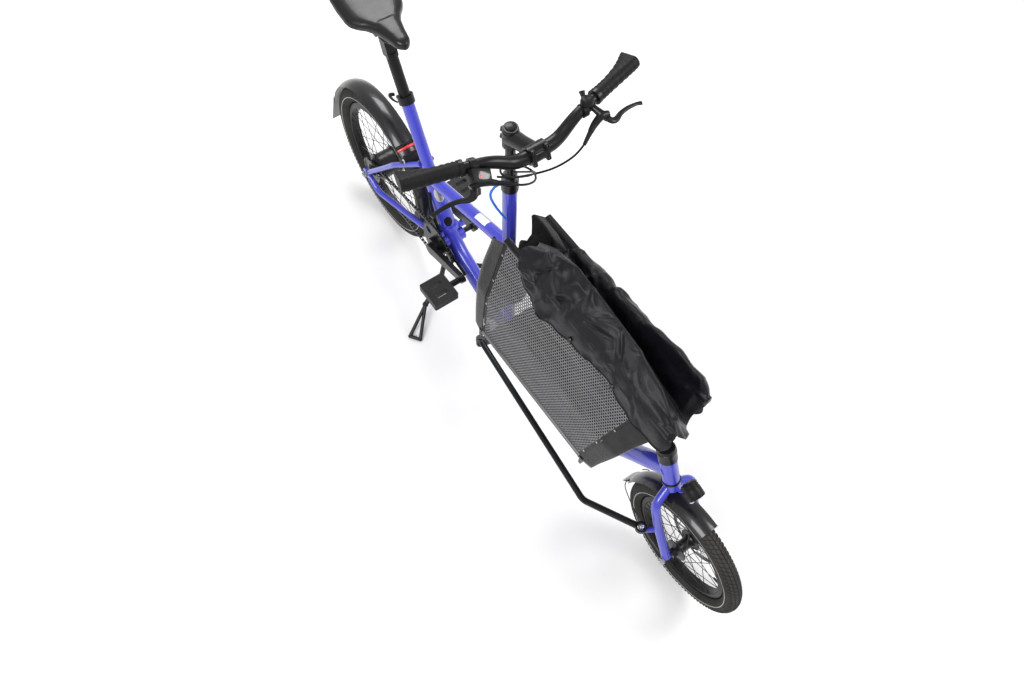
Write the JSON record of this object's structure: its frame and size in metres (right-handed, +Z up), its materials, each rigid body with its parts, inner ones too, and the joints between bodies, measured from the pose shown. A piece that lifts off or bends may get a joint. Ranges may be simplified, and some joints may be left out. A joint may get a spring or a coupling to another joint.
{
  "type": "front-load cargo bike",
  "caption": "Compact front-load cargo bike with a folding basket between handlebar and small front wheel, rod-linked steering and a centre stand.",
  "frame": {"origin": "on the ground at the middle of the bike's length and width", "axes": "+X forward, +Y to the rider's left, +Z up"},
  "size_m": [1.9704, 0.6074, 1.1027],
  "materials": {
    "blue_paint": "gloss",
    "black_paint": "satin",
    "tyre_rubber": "matte",
    "rim_black": "satin",
    "spoke_steel": "satin",
    "hub_black": "satin",
    "chain_steel": "oiled",
    "grip_rubber": "matte",
    "saddle_skin": "matte",
    "fender_plastic": "satin",
    "panel_metal": "satin",
    "end_canvas": "matte",
    "cover_nylon": "sheen",
    "black_plastic": "satin"
  },
  "bodies": {
    "frame": {"main_tube": "blue_paint", "column_socket": "blue_paint", "upper_tube": "blue_paint", "rear_stays": "blue_paint", "seat_clamp": "black_paint", "seat_post": "black_paint", "saddle": "saddle_skin", "rear_fender": "fender_plastic", "ring_lock": "black_plastic", "chain": "chain_steel", "basket_floor": "black_paint", "rear_end_fabric": "end_canvas", "front_end_fabric": "end_canvas", "basket_cover": "cover_nylon"},
    "rear_wheel": {"rear_tyre": "tyre_rubber", "rear_rim": "rim_black", "rear_spokes": "spoke_steel", "rear_hub": "hub_black"},
    "crankset": {"crankset": "black_paint"},
    "left_pedal": {"left_pedal": "black_plastic"},
    "right_pedal": {"right_pedal": "black_plastic"},
    "steering": {"steering_column": "black_paint", "stem": "black_paint", "handlebar": "black_paint", "grips": "grip_rubber", "brake_levers": "black_paint", "shifter": "black_plastic", "bell": "black_plastic", "steering_lever": "black_paint"},
    "steering_rod": {"steering_rod": "black_paint"},
    "fork": {"fork": "blue_paint", "front_fender": "fender_plastic", "headlamp": "black_plastic"},
    "front_wheel": {"front_tyre": "tyre_rubber", "front_rim": "rim_black", "front_spokes": "spoke_steel", "front_hub": "hub_black"},
    "centre_stand": {"centre_stand": "black_paint"},
    "left_side": {"left_side": "panel_metal"},
    "right_side": {"right_side": "panel_metal"}
  },
  "joints": [
    {"name": "rear_wheel_spin", "type": "hinge", "parent": "frame", "child": "rear_wheel", "pos_m": [-0.67325, 0, 0.258], "axis": [0, 1, 0], "continuous": true},
    {"name": "crank_spin", "type": "hinge", "parent": "frame", "child": "crankset", "pos_m": [-0.30125, 0, 0.3], "axis": [0, 1, 0], "continuous": true},
    {"name": "left_pedal_spin", "type": "hinge", "parent": "crankset", "child": "left_pedal", "pos_m": [-0.46293, 0.15, 0.24747], "axis": [0, 1, 0], "continuous": true},
    {"name": "right_pedal_spin", "type": "hinge", "parent": "crankset", "child": "right_pedal", "pos_m": [-0.13957, -0.15, 0.35253], "axis": [0, 1, 0], "continuous": true},
    {"name": "column_steer", "type": "hinge", "parent": "frame", "child": "steering", "pos_m": [-0.02354, 0, 0.5], "axis": [-0.045, 0, 0.999], "range_deg": [-30, 30]},
    {"name": "fork_steer", "type": "hinge", "parent": "frame", "child": "fork", "pos_m": [0.66175, 0, 0.437], "axis": [-0.4345, 0, 0.9007], "range_deg": [-30, 30]},
    {"name": "rod_pivot", "type": "hinge", "parent": "steering", "child": "steering_rod", "pos_m": [-0.02325, -0.09, 0.183], "axis": [-0.0349, 0.0489, 0.9982], "range_deg": [-32, 32]},
    {"name": "front_wheel_spin", "type": "hinge", "parent": "fork", "child": "front_wheel", "pos_m": [0.78275, 0, 0.2025], "axis": [0, 1, 0], "continuous": true},
    {"name": "stand_fold", "type": "hinge", "parent": "frame", "child": "centre_stand", "pos_m": [-0.30525, 0, 0.192], "axis": [0, 1, 0], "range_deg": [0, 88]},
    {"name": "left_fold", "type": "hinge", "parent": "frame", "child": "left_side", "pos_m": [0.27175, 0.14, 0.418], "axis": [-1, 0, 0], "range_deg": [0, 40], "deforming": ["basket_cover", "rear_end_fabric", "front_end_fabric"]},
    {"name": "right_fold", "type": "hinge", "parent": "frame", "child": "right_side", "pos_m": [0.27175, -0.14, 0.418], "axis": [1, 0, 0], "range_deg": [0, 40], "deforming": ["basket_cover", "rear_end_fabric", "front_end_fabric"]}
  ],
  "couplings": [
    {"joint": "fork_steer", "follows": "column_steer", "ratio": 0.9448},
    {"joint": "rod_pivot", "follows": "column_steer", "ratio": -1.0126}
  ]
}
